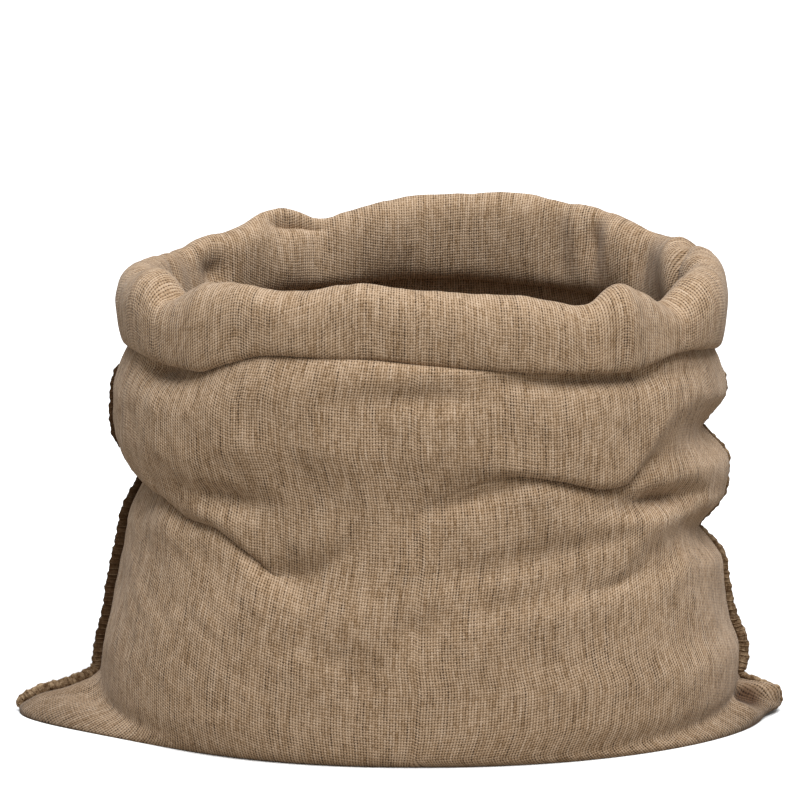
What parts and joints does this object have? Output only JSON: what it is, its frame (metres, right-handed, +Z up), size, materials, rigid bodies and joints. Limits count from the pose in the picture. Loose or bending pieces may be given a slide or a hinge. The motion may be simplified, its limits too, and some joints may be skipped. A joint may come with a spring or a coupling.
{
  "type": "hessian sack",
  "caption": "Open hessian sack standing upright in its slumped, filled-out shape, with a thick rolled cuff round the mouth, raised side seams and two flat bottom corners.",
  "frame": {"origin": "on the floor under the middle of the sack, midway between its two bottom corners", "axes": "+Z up, +X along the sack's width towards the seam on the right of the picture, -Y towards the front"},
  "size_m": [0.627, 0.3379, 0.4062],
  "materials": {
    "hessian": "coarse plain-woven jute",
    "seam_yarn": "coarse jute yarn"
  },
  "bodies": {
    "root": {"sack_cloth": "hessian", "seam_left": "seam_yarn", "seam_right": "seam_yarn"}
  },
  "joints": []
}
